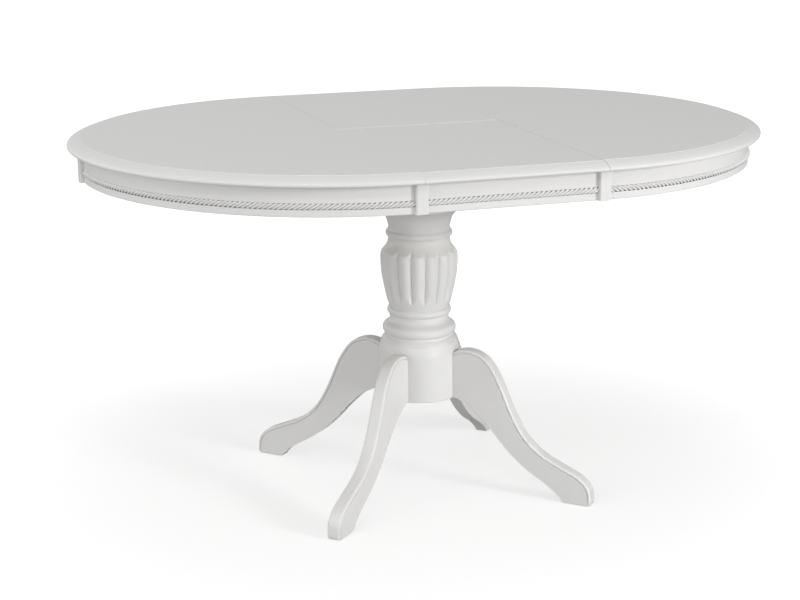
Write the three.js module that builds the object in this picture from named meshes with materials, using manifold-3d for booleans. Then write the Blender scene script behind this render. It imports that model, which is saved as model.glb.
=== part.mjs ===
// Round extension dining table on a turned pedestal with four sawn legs. The top is two half
// rounds with a folding leaf between them, and is shown extended. Millimetres, +Z up, origin on
// the floor under the column. X is the direction the halves slide in, and -Y is the front.
import * as THREE from "three";
import { mergeVertices } from "three/addons/utils/BufferGeometryUtils.js";
import Module from "manifold-3d";

const wasm = await Module();
wasm.setup();

// Driving dimensions.
const FIT = 0.3; // gap between pieces that touch
const TOP_HEIGHT = 760;
const TOP_THICKNESS = 18;
const TOP_RADIUS = 530;
const LEAF_WIDTH = 350;
const EDGE_WIDTH = 26.5; // width of the thumbnail moulding round the top
const APRON_RADIUS = 507; // outer face of the apron
const APRON_THICKNESS = 20;
const APRON_BOTTOM = 686;
const ROPE_HEIGHT = 705; // centre of the rope moulding
const ROPE_RADIUS = 6.3;
const ROPE_RECESS = 3;
const BLOCK_WIDTH = 23; // pilaster blocks on the apron
const BLOCK_DEPTH = 8;
const BLOCK_ROUND = 3;
const COLUMN_BOTTOM = 192;
const COLUMN_TOP = 640;
const COLUMN_BASE_RADIUS = 84;
const COLUMN_NECK_RADIUS = 95;
const LEG_THICKNESS = 28;
const LEG_BOLT_HEIGHT = 250;
const LEG_BOLT_RADIUS = 4.5;
const GLIDE_RADIUS = 11;
const GLIDE_THICKNESS = 4;
const GLIDE_PROUD = 1.5;
const GLIDE_REACH = 364; // glide centre from the column's axis
const PLATE_SIZE = 280;
const PLATE_THICKNESS = 22;
const BEARER_OFFSET = 100;
const BEARER_WIDTH = 60;
const BEARER_LENGTH = 380;
const RAIL_BOTTOM = 700;
const RAIL_TOP = 738;
const RAIL_OFFSET = 130; // centre of each fixed rail from the X axis
const RAIL_WIDTH = 30;
const RAIL_LENGTH = 600;
const RUNNER_WIDTH = 28;
const RUNNER_LENGTH = 600;
const RUNNER_OVERLAP = 40; // how far each runner passes the table's centre
const TONGUE = 8;
const GEAR_MODULE = 2;
const GEAR_TEETH = 14;
const GEAR_BOTTOM = 714;
const GEAR_HEIGHT = 12;
const RACK_REACH = 500;
const HINGE_OFFSET = 100; // barrel hinges from the middle of the leaf
const BARREL_RADIUS = 5.6;
const BARREL_LENGTH = 20;
const LATCH_PLACE = new THREE.Vector2(205, 330);
const LATCH_LENGTH = 62;
const ROUND_STEPS = 64;
const COLUMN_STEPS = 32;

const UNDERSIDE = TOP_HEIGHT - TOP_THICKNESS;
const HALF_LEAF = LEAF_WIDTH / 2;
const SEAM_GAP = FIT / 2;
const PITCH_RADIUS = (GEAR_MODULE * GEAR_TEETH) / 2;
const TOOTH_PITCH = Math.PI * GEAR_MODULE;
const PLATE_BOTTOM = COLUMN_TOP + FIT;
const PLATE_TOP = PLATE_BOTTOM + PLATE_THICKNESS;
const LACQUER = { color: 0xdcdad6, roughness: 0.38 };
const BEECH = { color: 0xc49a6c, roughness: 0.6 };
const PLYWOOD = { color: 0xb98f62, roughness: 0.7 };
const STEEL = { color: 0xa8abae, roughness: 0.35, metalness: 1 };
const BRASS = { color: 0xb89552, roughness: 0.35, metalness: 1 };
const NYLON = { color: 0xe6e4dd, roughness: 0.5 };

const table = new THREE.Group();

// ---- Solids ------------------------------------------------------------------------------

function signedVolume(position, index) {
  const corners = [new THREE.Vector3(), new THREE.Vector3(), new THREE.Vector3()];
  let volume = 0;
  for (let i = 0; i < index.length; i += 3) {
    corners.forEach((corner, k) => corner.fromBufferAttribute(position, index[i + k]));
    volume += corners[0].dot(corners[1].cross(corners[2])) / 6;
  }
  return volume;
}

/** Makes a closed geometry into a solid that can be cut and joined. */
function solid(geometry) {
  geometry.deleteAttribute("normal");
  geometry.deleteAttribute("uv");
  const merged = mergeVertices(geometry, 1e-4);
  const position = merged.getAttribute("position");
  const all = Array.from(merged.getIndex().array);
  const index = [];
  for (let i = 0; i < all.length; i += 3) {
    const [a, b, c] = all.slice(i, i + 3);
    if (a !== b && b !== c && c !== a) index.push(a, b, c);
  }
  if (signedVolume(position, index) < 0) index.reverse();
  const mesh = new wasm.Mesh({
    numProp: 3,
    vertProperties: new Float32Array(position.array),
    triVerts: new Uint32Array(index),
  });
  return new wasm.Manifold(mesh);
}

function add(name, shape, finish) {
  const mesh = shape.getMesh();
  const geometry = new THREE.BufferGeometry();
  geometry.setAttribute("position", new THREE.BufferAttribute(mesh.vertProperties, 3));
  geometry.setIndex(new THREE.BufferAttribute(mesh.triVerts, 1));
  geometry.computeVertexNormals();
  const piece = new THREE.Mesh(geometry, new THREE.MeshStandardMaterial(finish));
  piece.name = name;
  table.add(piece);
}

function box(x0, x1, y0, y1, z0, z1) {
  const geometry = new THREE.BoxGeometry(x1 - x0, y1 - y0, z1 - z0);
  return solid(geometry.translate((x0 + x1) / 2, (y0 + y1) / 2, (z0 + z1) / 2));
}

/** Turns an outline of [radius, height] points about the Z axis. */
function turned(points, steps) {
  const profile = points.map(([r, z]) => new THREE.Vector2(r, z));
  return solid(new THREE.LatheGeometry(profile, steps).rotateX(Math.PI / 2));
}

function disc(radius, z0, z1, steps = 24) {
  return turned([[0, z0], [radius, z0], [radius, z1], [0, z1]], steps);
}

function outline(points) {
  return new THREE.Shape(points.map(([x, y]) => new THREE.Vector2(x, y)));
}

/** Extrudes an outline of [x, y] points from z0 up to z1. */
function upright(points, z0, z1) {
  const options = { depth: z1 - z0, bevelEnabled: false };
  return solid(new THREE.ExtrudeGeometry(outline(points), options).translate(0, 0, z0));
}

/** Extrudes an outline of [y, z] points from x0 to x1. */
function lengthwise(points, x0, x1) {
  const options = { depth: x1 - x0, bevelEnabled: false };
  const geometry = new THREE.ExtrudeGeometry(outline(points), options).translate(0, 0, x0);
  const axes = [0, 1, 2].map((k) => new THREE.Vector3().setComponent((k + 1) % 3, 1));
  return solid(geometry.applyMatrix4(new THREE.Matrix4().makeBasis(...axes)));
}

/** The same piece on the other side, turned half round about the Z axis. */
function side(shape, sign) {
  return sign < 0 ? shape : shape.rotate([0, 0, 180]);
}

function spline(points, steps) {
  const curve = new THREE.SplineCurve(points.map(([x, y]) => new THREE.Vector2(x, y)));
  return curve.getPoints(steps).map((p) => [p.x, p.y]);
}

/** A bead that bulges out between two heights on a turned outline. */
function bead(r0, z0, r1, z1, bulge, steps = 6) {
  const points = [];
  for (let i = 0; i <= steps; i += 1) {
    const t = i / steps;
    const out = bulge * Math.sin(Math.PI * t);
    points.push([r0 + (r1 - r0) * t + out, z0 + ((z1 - z0) * (1 - Math.cos(Math.PI * t))) / 2]);
  }
  return points;
}

// ---- Top and apron -----------------------------------------------------------------------

/** The top's edge, from the underside round to the quirk: a thumbnail moulding. */
function edgeProfile(radius) {
  const bottom = [[radius - 3, UNDERSIDE], [radius - 0.8, UNDERSIDE + 2]];
  const thumb = spline([
    [radius, TOP_HEIGHT - 13.5],
    [radius - 1, TOP_HEIGHT - 10.8],
    [radius - 5.4, TOP_HEIGHT - 8.4],
    [radius - 15, TOP_HEIGHT - 5],
    [radius - EDGE_WIDTH, TOP_HEIGHT - 1.6],
  ], 6);
  return [...bottom, ...thumb, [radius - EDGE_WIDTH, TOP_HEIGHT]];
}

/** The apron's section as [radius, height], with a shallow recess for the rope moulding. */
function apronProfile() {
  const inside = APRON_RADIUS - APRON_THICKNESS;
  const recess = APRON_RADIUS - ROPE_RECESS;
  const low = ROPE_HEIGHT - ROPE_RADIUS - FIT;
  const high = ROPE_HEIGHT + ROPE_RADIUS + FIT;
  return [
    [inside, APRON_BOTTOM], [APRON_RADIUS, APRON_BOTTOM],
    [APRON_RADIUS, low], [recess, low], [recess, high], [APRON_RADIUS, high],
    [APRON_RADIUS, UNDERSIDE - FIT], [inside, UNDERSIDE - FIT],
  ];
}

function ropeProfile() {
  const back = APRON_RADIUS - ROPE_RECESS + FIT;
  return bead(back, ROPE_HEIGHT - ROPE_RADIUS, back, ROPE_HEIGHT + ROPE_RADIUS, ROPE_RADIUS);
}

/** Turns a closed section round the left half's centre and keeps what lies left of x1. */
function halfRound(profile, x1) {
  const ring = turned(profile, ROUND_STEPS).translate([-HALF_LEAF, 0, 0]);
  const keep = box(-2 * TOP_RADIUS, x1, -2 * TOP_RADIUS, 2 * TOP_RADIUS, 0, 2 * TOP_HEIGHT);
  return ring.intersect(keep);
}

/** A pilaster block seen from above, with its free corners rounded. */
function blockOutline(x0, x1, y0, y1, roundLeft, roundRight) {
  const corner = (x, turn) => [0, 1, 2, 3].map((k) => {
    const angle = (turn * k * Math.PI) / 6;
    return [x - turn * BLOCK_ROUND * Math.sin(angle * turn), y1 - BLOCK_ROUND * (1 - Math.cos(angle))];
  });
  const right = roundRight ? corner(x1 - BLOCK_ROUND, -1).reverse() : [[x1, y1]];
  const left = roundLeft ? corner(x0 + BLOCK_ROUND, 1) : [[x0, y1]];
  return [[x0, y0], [x1, y0], ...right, ...left];
}

/** A half block on the back apron, from the seam at +HALF_LEAF to the leaf or the half round. */
function seamBlock(onLeaf) {
  const seam = HALF_LEAF + (onLeaf ? -SEAM_GAP : SEAM_GAP);
  const free = seam + (onLeaf ? -1 : 1) * (BLOCK_WIDTH / 2);
  const y0 = APRON_RADIUS + FIT;
  const points = blockOutline(
    Math.min(seam, free), Math.max(seam, free), y0, APRON_RADIUS + BLOCK_DEPTH, onLeaf, !onLeaf);
  return upright(points, APRON_BOTTOM, UNDERSIDE - FIT);
}

/** The block at the far end of a half round, notched over the rope moulding. */
function endBlock() {
  const y0 = APRON_RADIUS + FIT;
  const half = BLOCK_WIDTH / 2;
  const points = blockOutline(-half, half, y0, APRON_RADIUS + BLOCK_DEPTH, true, true);
  const notch = ROPE_RADIUS + FIT;
  return upright(points, APRON_BOTTOM, UNDERSIDE - FIT)
    .subtract(box(-half - 1, half + 1, 0, y0 - ROPE_RECESS + ROPE_RADIUS + 2 * FIT,
      ROPE_HEIGHT - notch, ROPE_HEIGHT + notch))
    .rotate([0, 0, 90])
    .translate([-HALF_LEAF, 0, 0]);
}

// ---- Slides and equaliser ----------------------------------------------------------------

/** A fixed rail with a groove in each side for the runners' tongues. */
function fixedRail(y) {
  const half = RAIL_WIDTH / 2;
  const low = (RAIL_BOTTOM + RAIL_TOP - TONGUE) / 2 - FIT;
  const high = low + TONGUE + 2 * FIT;
  const deep = half - TONGUE - FIT;
  const right = [[half, low], [deep, low], [deep, high], [half, high]];
  const left = right.map(([a, b]) => [-a, b]).reverse();
  const points = [
    [-half, RAIL_BOTTOM + FIT], [half, RAIL_BOTTOM + FIT], ...right,
    [half, RAIL_TOP], [-half, RAIL_TOP], ...left,
  ];
  return lengthwise(points.map(([a, b]) => [a + y, b]), -RAIL_LENGTH / 2, RAIL_LENGTH / 2);
}

/** A runner beside a fixed rail; its tongue points towards the rail. */
function runner(y, sign, outside) {
  const towards = outside ? -Math.sign(y) : Math.sign(y);
  const face = y - towards * (RAIL_WIDTH / 2 + FIT);
  const back = face - towards * RUNNER_WIDTH;
  const low = (RAIL_BOTTOM + RAIL_TOP - TONGUE) / 2;
  const high = low + TONGUE;
  const points = [
    [back, RAIL_BOTTOM + 2], [face, RAIL_BOTTOM + 2],
    [face, low], [face + towards * TONGUE, low], [face + towards * TONGUE, high], [face, high],
    [face, UNDERSIDE - FIT], [back, UNDERSIDE - FIT],
  ];
  const x0 = sign < 0 ? RUNNER_OVERLAP - RUNNER_LENGTH : -RUNNER_OVERLAP;
  return lengthwise(points, x0, x0 + RUNNER_LENGTH);
}

/** The left half's rack, with teeth only where they meet the pinion. */
function rack() {
  const first = -30;
  const last = 7;
  const back = -PITCH_RADIUS - 16;
  const root = -PITCH_RADIUS - 1.25 * GEAR_MODULE;
  const tip = -PITCH_RADIUS + 0.9 * GEAR_MODULE;
  const points = [[-RACK_REACH, back], [(last + 1) * TOOTH_PITCH, back]];
  for (let tooth = last; tooth >= first; tooth -= 1) {
    const x = (tooth + 0.5) * TOOTH_PITCH;
    points.push([x + 0.34 * TOOTH_PITCH, root], [x + 0.12 * TOOTH_PITCH, tip]);
    points.push([x - 0.12 * TOOTH_PITCH, tip], [x - 0.34 * TOOTH_PITCH, root]);
  }
  points.push([-RACK_REACH, root]);
  return upright(points, GEAR_BOTTOM + 1, GEAR_BOTTOM + GEAR_HEIGHT - 1);
}

/** The pinion, with a tooth pointing straight at each rack's tooth space. */
function pinion() {
  const points = [];
  const steps = [[-0.29, -1.25], [-0.2, 0], [-0.09, 0.9], [0.09, 0.9], [0.2, 0], [0.29, -1.25]];
  for (let tooth = 0; tooth < GEAR_TEETH; tooth += 1) {
    for (const [turn, out] of steps) {
      const angle = -Math.PI / 2 + ((tooth + turn) * 2 * Math.PI) / GEAR_TEETH;
      const radius = PITCH_RADIUS + out * GEAR_MODULE;
      points.push([radius * Math.cos(angle), radius * Math.sin(angle)]);
    }
  }
  return upright(points, GEAR_BOTTOM, GEAR_BOTTOM + GEAR_HEIGHT)
    .subtract(disc(5.5, GEAR_BOTTOM - 1, GEAR_BOTTOM + GEAR_HEIGHT + 1));
}

/** The post that stands on the mounting plate and carries the pinion. */
function pinionPost() {
  const shoulder = GEAR_BOTTOM - FIT;
  const head = GEAR_BOTTOM + GEAR_HEIGHT + FIT;
  return turned([
    [0, PLATE_TOP + FIT], [22, PLATE_TOP + FIT], [22, PLATE_TOP + 6], [9, PLATE_TOP + 9],
    [9, shoulder], [5, shoulder], [5, head], [8, head], [8, head + 3], [0, head + 3],
  ], 24);
}

/** A turn button under a half; it swings across the seam to hold the leaf level. */
function latch() {
  const end = LATCH_LENGTH - 8;
  const arm = upright([[-9, -6], [9, -6], [8, end], [4, end + 7], [-4, end + 7], [-8, end]], 0, 3)
    .add(disc(9, 0, 8.5))
    .subtract(disc(2.5, -1, 5));
  return arm.translate([-LATCH_PLACE.x, -LATCH_PLACE.y, UNDERSIDE - FIT - 8.5]);
}

// ---- Pedestal ----------------------------------------------------------------------------

/** The turned column's outline, grown by a margin so that the legs can be scribed to it. */
function columnOutline(margin) {
  const vase = spline([
    [64.2, 386.5], [67.8, 399], [74, 425], [78.4, 455], [80.2, 483], [78.6, 497], [71, 508], [64.4, 523],
  ], 12);
  const points = [
    [COLUMN_BASE_RADIUS - 2, COLUMN_BOTTOM], [COLUMN_BASE_RADIUS, COLUMN_BOTTOM + 2],
    [COLUMN_BASE_RADIUS, 290], [83.2, 296], [80.8, 304], [79, 311], [77, 314], [72.6, 319],
    ...spline([[71.4, 324], [74.6, 330], [76.2, 336.8], [74.6, 341.6], [69.6, 346.8], [63.6, 351]], 10),
    [60, 357], [60.6, 361],
    ...bead(61.6, 366, 62.8, 382, 4.4),
    ...vase,
    ...bead(64, 529, 64, 545, 5),
    ...spline([[63.6, 550], [65.8, 561], [70, 574], [78, 582], [91, 591]], 6),
    [COLUMN_NECK_RADIUS, 598], [COLUMN_NECK_RADIUS, COLUMN_TOP],
  ];
  return [[0, COLUMN_BOTTOM], ...points.map(([r, z]) => [r + margin, z]), [0, COLUMN_TOP]];
}

/** A cylinder lying along a leg's centre line, from one reach to another. */
function radialPin(radius, from, to, degrees) {
  return disc(radius, from, to, 12)
    .rotate([0, 90, 0])
    .rotate([0, 0, degrees])
    .translate([0, 0, LEG_BOLT_HEIGHT]);
}

function plateScrew(degrees) {
  const reach = 62;
  const angle = (degrees * Math.PI) / 180;
  return [reach * Math.cos(angle), reach * Math.sin(angle), 0];
}

function column() {
  let shape = turned(columnOutline(0), COLUMN_STEPS);
  for (const degrees of LEG_ANGLES) {
    shape = shape.subtract(radialPin(LEG_BOLT_RADIUS + FIT, 40, COLUMN_BASE_RADIUS + 5, degrees));
    const bore = disc(3.5 + FIT, COLUMN_TOP - 46, COLUMN_TOP + 1, 12);
    shape = shape.subtract(bore.translate(plateScrew(degrees)));
  }
  return shape;
}

/** A leg's side outline as [reach, height]: a high knee falling in a hollow to the toe. */
function legOutline() {
  const knee = spline([
    [391, 14], [388, 34], [380, 46.5], [368, 56.5], [350, 66.5], [325, 77], [298, 89], [270, 106],
    [246, 129], [228, 155], [212, 186], [198, 218], [186, 244], [172, 267], [156, 285], [138, 295],
    [122, 299], [108, 299], [95, 297], [84, 292],
  ], 38);
  const hollow = spline([
    [84, 194], [102, 188], [133, 170], [165, 140], [194, 108], [222, 81], [254, 57], [290, 36],
    [318, 16], [332, GLIDE_PROUD],
  ], 18);
  return [[391, GLIDE_PROUD], ...knee, [60, 278], [60, 196], ...hollow];
}

function leg(degrees, scribe) {
  const half = LEG_THICKNESS / 2;
  const options = { depth: LEG_THICKNESS, bevelEnabled: false };
  const slab = new THREE.ExtrudeGeometry(outline(legOutline()), options).translate(0, 0, -half);
  return solid(slab.rotateX(Math.PI / 2).rotateZ((degrees * Math.PI) / 180))
    .subtract(scribe)
    .subtract(radialPin(LEG_BOLT_RADIUS + FIT, 60, 131, degrees))
    .subtract(glide(degrees, FIT));
}

function glide(degrees, margin) {
  const angle = (degrees * Math.PI) / 180;
  return disc(GLIDE_RADIUS + margin, -margin, GLIDE_THICKNESS + margin, 20)
    .translate([GLIDE_REACH * Math.cos(angle), GLIDE_REACH * Math.sin(angle), 0]);
}

function mountingPlate() {
  const half = PLATE_SIZE / 2;
  let plate = box(-half, half, -half, half, PLATE_BOTTOM, PLATE_TOP);
  for (const degrees of LEG_ANGLES) {
    const bore = disc(3.5 + FIT, PLATE_BOTTOM - 1, PLATE_TOP + 1, 12);
    plate = plate.subtract(bore.translate(plateScrew(degrees)));
  }
  return plate;
}

// ---- Assembly ----------------------------------------------------------------------------

const LEG_ANGLES = [45, 135, 225, 315];
const LEG_NAMES = ["back_right", "back_left", "front_left", "front_right"];

function addPedestal() {
  add("column", column(), LACQUER);
  const scribe = turned(columnOutline(FIT), COLUMN_STEPS);
  LEG_ANGLES.forEach((degrees, i) => {
    const reach = radialPin(LEG_BOLT_RADIUS, 42, 130, degrees);
    const screw = turned([
      [0, COLUMN_TOP - 44], [3.5, COLUMN_TOP - 40], [3.5, PLATE_TOP + FIT], [7, PLATE_TOP + FIT],
      [7, PLATE_TOP + 3], [4, PLATE_TOP + 5], [0, PLATE_TOP + 5],
    ], 12);
    add(`leg_${LEG_NAMES[i]}`, leg(degrees, scribe), LACQUER);
    add(`leg_bolt_${LEG_NAMES[i]}`, reach, STEEL);
    add(`glide_${LEG_NAMES[i]}`, glide(degrees, 0), NYLON);
    add(`plate_screw_${LEG_NAMES[i]}`, screw.translate(plateScrew(degrees)), STEEL);
  });
  add("mounting_plate", mountingPlate(), PLYWOOD);
  for (const [name, x] of [["left", -BEARER_OFFSET], ["right", BEARER_OFFSET]]) {
    const bearer = box(x - BEARER_WIDTH / 2, x + BEARER_WIDTH / 2, -BEARER_LENGTH / 2,
      BEARER_LENGTH / 2, PLATE_TOP + FIT, RAIL_BOTTOM);
    add(`bearer_${name}`, bearer, BEECH);
  }
  add("fixed_rail_front", fixedRail(-RAIL_OFFSET), BEECH);
  add("fixed_rail_back", fixedRail(RAIL_OFFSET), BEECH);
  add("pinion_post", pinionPost(), STEEL);
  add("pinion", pinion(), STEEL);
}

function addHalf(name, sign) {
  const rim = [[0, UNDERSIDE], ...edgeProfile(TOP_RADIUS), [0, TOP_HEIGHT]];
  const seam = -HALF_LEAF - SEAM_GAP;
  const apron = apronProfile();
  const rope = ropeProfile();
  const ropeEnd = seam - BLOCK_WIDTH / 2 - FIT;
  add(`${name}_top`, side(halfRound(rim, seam), sign), LACQUER);
  add(`${name}_apron`, side(halfRound([...apron, apron[0]], seam), sign), LACQUER);
  add(`${name}_rope`, side(halfRound([...rope, rope[0]], ropeEnd), sign), LACQUER);
  add(`${name}_end_block`, side(endBlock(), sign), LACQUER);
  const block = seamBlock(false);
  const near = sign < 0 ? block.mirror([1, 0, 0]) : block;
  add(`${name}_block_back`, near, LACQUER);
  add(`${name}_block_front`, near.mirror([0, 1, 0]), LACQUER);
  const outside = sign < 0;
  add(`${name}_runner_back`, runner(RAIL_OFFSET, sign, !outside), BEECH);
  add(`${name}_runner_front`, runner(-RAIL_OFFSET, sign, !outside), BEECH);
  add(`${name}_rack`, side(rack(), sign), STEEL);
  const spacer = box(-RACK_REACH, 60 - RACK_REACH, -PITCH_RADIUS - 26, 6 - PITCH_RADIUS,
    GEAR_BOTTOM + GEAR_HEIGHT - 1 + FIT, UNDERSIDE - FIT);
  add(`${name}_rack_block`, side(spacer, sign), BEECH);
  add(`${name}_latch`, side(latch(), sign), STEEL);
}

/** One section of the leaf with its apron; the front one is the back one turned half round. */
function addLeafSection(name, sign) {
  const rim = [[SEAM_GAP, UNDERSIDE], ...edgeProfile(TOP_RADIUS), [SEAM_GAP, TOP_HEIGHT]];
  const end = HALF_LEAF - SEAM_GAP;
  const ropeEnd = end - BLOCK_WIDTH / 2 - FIT;
  let panel = lengthwise(rim, -end, end);
  const middle = UNDERSIDE + TOP_THICKNESS / 2;
  for (const [place, x] of [["left", sign * HINGE_OFFSET], ["right", -sign * HINGE_OFFSET]]) {
    const barrel = (margin) => disc(BARREL_RADIUS + margin, 2 * FIT - 4 * margin,
      BARREL_LENGTH + margin, 16).rotate([-90, 0, 0]).translate([x, 0, middle]);
    panel = panel.subtract(barrel(FIT));
    add(`${name}_barrel_${place}`, side(barrel(0), -sign), BRASS);
  }
  add(`${name}_panel`, side(panel, -sign), LACQUER);
  add(`${name}_apron`, side(lengthwise(apronProfile(), -end, end), -sign), LACQUER);
  add(`${name}_rope`, side(lengthwise(ropeProfile(), -ropeEnd, ropeEnd), -sign), LACQUER);
  const block = seamBlock(true);
  const near = sign < 0 ? block.mirror([0, 1, 0]) : block;
  add(`${name}_block_right`, near, LACQUER);
  add(`${name}_block_left`, near.mirror([1, 0, 0]), LACQUER);
}

addPedestal();
addHalf("left", -1);
addHalf("right", 1);
addLeafSection("leaf_back", 1);
addLeafSection("leaf_front", -1);

export default table;
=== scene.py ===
"""A round extension table in satin white lacquer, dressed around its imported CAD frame.

The script replaces the plain turned, sawn and moulded nodes with finely shaped ones, gives the
slides and fittings under the top their own finishes, and sets the floor, lights and camera.
"""

import logging
import math
from collections.abc import Callable, Sequence
from dataclasses import dataclass, field
from enum import Enum

import bmesh
import bpy
from mathutils import Matrix, Vector

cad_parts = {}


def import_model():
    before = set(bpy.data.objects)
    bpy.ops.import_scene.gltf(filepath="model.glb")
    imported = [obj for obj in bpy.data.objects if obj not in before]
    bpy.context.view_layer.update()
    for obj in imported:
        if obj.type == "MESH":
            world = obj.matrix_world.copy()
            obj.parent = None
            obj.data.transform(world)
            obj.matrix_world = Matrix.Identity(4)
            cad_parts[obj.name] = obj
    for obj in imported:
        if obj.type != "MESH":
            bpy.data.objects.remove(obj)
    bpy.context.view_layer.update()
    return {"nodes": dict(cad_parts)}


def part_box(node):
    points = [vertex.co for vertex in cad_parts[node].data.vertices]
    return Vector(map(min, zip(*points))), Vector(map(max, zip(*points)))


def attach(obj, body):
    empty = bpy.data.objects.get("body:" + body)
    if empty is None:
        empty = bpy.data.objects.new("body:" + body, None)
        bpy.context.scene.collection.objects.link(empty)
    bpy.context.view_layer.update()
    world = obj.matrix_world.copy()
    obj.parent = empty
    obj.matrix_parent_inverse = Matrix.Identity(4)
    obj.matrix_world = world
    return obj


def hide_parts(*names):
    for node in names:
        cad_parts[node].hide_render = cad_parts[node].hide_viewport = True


LOG = logging.getLogger("table")
MM = 0.001
UP = Vector((0.0, 0.0, 1.0))
ALONG = Vector((1.0, 0.0, 0.0))
LEG_TURNS = {"back_right": 45, "back_left": 135, "front_left": 225, "front_right": 315}

Pair = tuple[float, float]


class Half(Enum):
    """The two halves of the top, with the side of the X axis each one slides to."""

    LEFT = -1
    RIGHT = 1

    @property
    def body(self) -> str:
        """The CAD body's name."""
        return f"{self.name.lower()}_half"

    def node(self, piece: str) -> str:
        """The name of one of the half's nodes."""
        return f"{self.name.lower()}_{piece}"


class Section(Enum):
    """The two sections of the folding leaf, with the side of the Y axis each one lies on."""

    BACK = 1
    FRONT = -1

    @property
    def body(self) -> str:
        """The CAD body's name."""
        return f"leaf_{self.name.lower()}"

    def node(self, piece: str) -> str:
        """The name of one of the section's nodes."""
        return f"{self.body}_{piece}"


# ---- Shader node helpers -------------------------------------------------------------------


class NodeTree:
    """A thin wrapper that adds nodes to a tree and links them by socket name."""

    def __init__(self, tree: bpy.types.NodeTree) -> None:
        """Keeps the tree to add to."""
        self.tree = tree

    def add(self, kind: str, inputs: dict | None = None, **settings: object) -> bpy.types.Node:
        """Adds a node.

        Args:
            kind: The node's type, without its ShaderNode prefix, or "Group...".
            inputs: Socket name or index to a value, or to a socket to link from.
            settings: Properties of the node itself.

        Returns:
            The new node.
        """
        node = self.tree.nodes.new(kind if kind.startswith("Node") else f"ShaderNode{kind}")
        for name, value in settings.items():
            setattr(node, name, value)
        for key, value in (inputs or {}).items():
            if isinstance(value, bpy.types.NodeSocket):
                self.tree.links.new(value, node.inputs[key])
            else:
                node.inputs[key].default_value = value
        return node

    def maths(self, operation: str, *values: object) -> bpy.types.NodeSocket:
        """Adds a Math node over numbers or sockets and gives its result."""
        node = self.add("Math", dict(enumerate(values)), operation=operation)
        return node.outputs[0]

    def ramp(self, source: bpy.types.NodeSocket,
             stops: Sequence[tuple[float, tuple]]) -> bpy.types.NodeSocket:
        """Adds a colour ramp.

        Args:
            source: What the ramp reads.
            stops: Each stop's place and colour.

        Returns:
            The ramp's colour socket.
        """
        node = self.add("ValToRGB", {"Fac": source})
        for _ in stops[2:]:
            node.color_ramp.elements.new(0.5)
        for element, (place, colour) in zip(node.color_ramp.elements, stops):
            element.position = place
            element.color = (*colour, 1.0)
        return node.outputs["Color"]


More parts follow.
